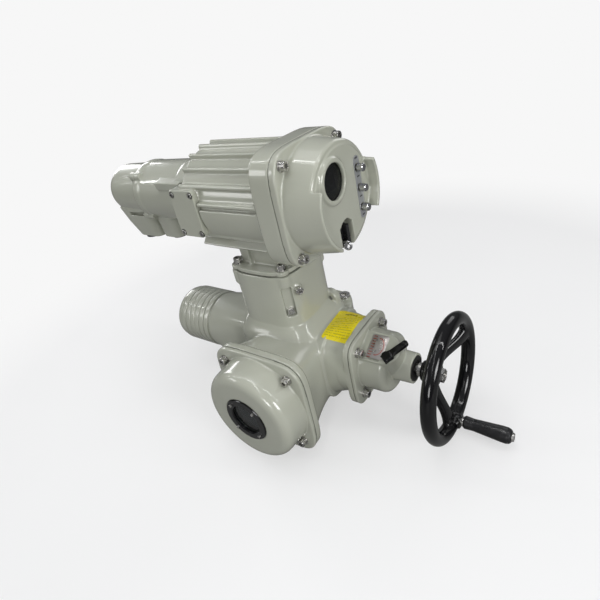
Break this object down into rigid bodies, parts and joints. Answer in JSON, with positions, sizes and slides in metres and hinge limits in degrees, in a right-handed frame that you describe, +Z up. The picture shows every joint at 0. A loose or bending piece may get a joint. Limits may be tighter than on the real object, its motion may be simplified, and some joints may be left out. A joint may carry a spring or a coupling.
{
  "type": "motorized valve actuator",
  "caption": "Electric multi-turn actuator that turns a valve stem through a worm gear, with a manual handwheel, position indicator, finned control unit and wiring box.",
  "frame": {"origin": "centre of the valve flange's face, on the output axis", "axes": "+Z up along the output axis away from the valve, +X towards the handwheel, -Y towards the position indicator"},
  "size_m": [0.7354, 0.3071, 0.4768],
  "materials": {
    "grey_paint": "glossy warm grey-green enamel over a casting",
    "black_gloss": "glossy black enamel",
    "black_plastic": "moulded black plastic",
    "rubber": "matt black rubber",
    "clear_glass": "clear toughened glass",
    "chrome": "polished plating",
    "stainless": "stainless steel fasteners",
    "bronze": "machined bronze",
    "copper": "varnished copper winding",
    "board": "circuit board laminate",
    "black_matt": "matt black",
    "moulding": "dark grey moulding compound",
    "indicator_face": "grey dial disc",
    "zinc_plate": "bright zinc plating",
    "aluminium_plate": "plain aluminium sheet",
    "machined_steel": "machined steel",
    "yellow_label": "yellow film label"
  },
  "bodies": {
    "housing": {"cable_entry_plugs": "black_plastic", "circuit_boards": "board", "connection_housing": "grey_paint", "control_unit_screws": "stainless", "display_module": "black_matt", "display_window": "clear_glass", "earth_screw": "stainless", "electronics_cover": "grey_paint", "electronics_cover_gasket": "rubber", "electronics_housing": "grey_paint", "gear_cover_screws": "stainless", "gear_housing": "grey_paint", "handwheel_cover_gasket": "rubber", "handwheel_gear_cover": "grey_paint", "junction_cover": "grey_paint", "lock_hasp": "chrome", "motor_housing": "grey_paint", "motor_stator": "machined_steel", "mounting_flange": "grey_paint", "mounting_flange_screws": "stainless", "neck_gasket": "rubber", "neck_plug": "stainless", "nose_bush": "bronze", "nose_seal": "rubber", "oil_filler_plug": "stainless", "output_bearings": "machined_steel", "output_seal": "rubber", "sight_bezel": "black_gloss", "sight_bezel_screws": "stainless", "sight_glass": "clear_glass", "signal_cover_gasket": "rubber", "signal_gear_cover": "grey_paint", "signal_plate": "aluminium_plate", "signal_shaft_bush": "bronze", "small_cover_screws": "stainless", "stator_windings": "copper", "terminal_block": "moulding", "terminal_cover": "grey_paint", "transformer": "moulding", "worm_bearings": "machined_steel"},
    "output_drive": {"output_sleeve": "machined_steel", "worm_wheel": "bronze"},
    "motor_shaft": {"worm_shaft": "machined_steel", "motor_rotor": "machined_steel"},
    "signal_shaft": {"signal_pinion_shaft": "machined_steel", "signal_wheel": "bronze"},
    "indicator": {"indicator_gear": "machined_steel", "indicator_disc": "indicator_face"},
    "handwheel": {"handwheel": "black_gloss", "handwheel_shaft": "machined_steel", "handwheel_nut": "stainless", "handle_spindle": "stainless"},
    "handle_grip": {"handle_grip": "black_plastic"},
    "clutch_sleeve": {"clutch_sleeve": "machined_steel"},
    "changeover_lever": {"changeover_lever": "black_gloss", "lever_shaft": "machined_steel"},
    "selector_knob": {"selector_knob": "black_plastic"},
    "button_1": {"button_1": "chrome"},
    "button_2": {"button_2": "chrome"},
    "button_3": {"button_3": "chrome"}
  },
  "joints": [
    {"name": "motor_spin", "type": "hinge", "parent": "housing", "child": "motor_shaft", "pos_m": [0, -0.0525, 0.104], "axis": [1, 0, 0], "continuous": true},
    {"name": "output_turn", "type": "hinge", "parent": "housing", "child": "output_drive", "pos_m": [0, 0, 0.1], "axis": [0, 0, 1], "continuous": true},
    {"name": "signal_spin", "type": "hinge", "parent": "housing", "child": "signal_shaft", "pos_m": [0, -0.1, 0.064], "axis": [0, 1, 0], "continuous": true},
    {"name": "indicator_turn", "type": "hinge", "parent": "housing", "child": "indicator", "pos_m": [0, -0.2, 0.094], "axis": [0, 1, 0], "continuous": true},
    {"name": "handwheel_spin", "type": "hinge", "parent": "housing", "child": "handwheel", "pos_m": [0.2, -0.0525, 0.104], "axis": [1, 0, 0], "continuous": true},
    {"name": "grip_spin", "type": "hinge", "parent": "handwheel", "child": "handle_grip", "pos_m": [0.3, -0.05098, 0.01701], "axis": [1, 0, 0], "continuous": true},
    {"name": "lever_swing", "type": "hinge", "parent": "housing", "child": "changeover_lever", "pos_m": [0.17, -0.08164, 0.13455], "axis": [0, -0.4226, 0.9063], "range_deg": [0, 40]},
    {"name": "clutch_slide", "type": "slide", "parent": "handwheel", "child": "clutch_sleeve", "axis": [-1, 0, 0], "range_m": [0, 0.0052]},
    {"name": "selector_turn", "type": "hinge", "parent": "housing", "child": "selector_knob", "pos_m": [0.1, -0.0595, 0.3373], "axis": [1, 0, 0], "range_deg": [0, 45]},
    {"name": "button_1_press", "type": "slide", "parent": "housing", "child": "button_1", "axis": [-1, 0, 0], "range_m": [0, 0.003]},
    {"name": "button_2_press", "type": "slide", "parent": "housing", "child": "button_2", "axis": [-1, 0, 0], "range_m": [0, 0.003]},
    {"name": "button_3_press", "type": "slide", "parent": "housing", "child": "button_3", "axis": [-1, 0, 0], "range_m": [0, 0.003]}
  ],
  "couplings": [
    {"joint": "output_turn", "follows": "motor_spin", "ratio": -0.033333},
    {"joint": "signal_spin", "follows": "motor_spin", "ratio": -0.05},
    {"joint": "indicator_turn", "follows": "motor_spin", "ratio": 0.016667},
    {"joint": "clutch_slide", "follows": "lever_swing", "m_per_rad": 0.0073768}
  ]
}
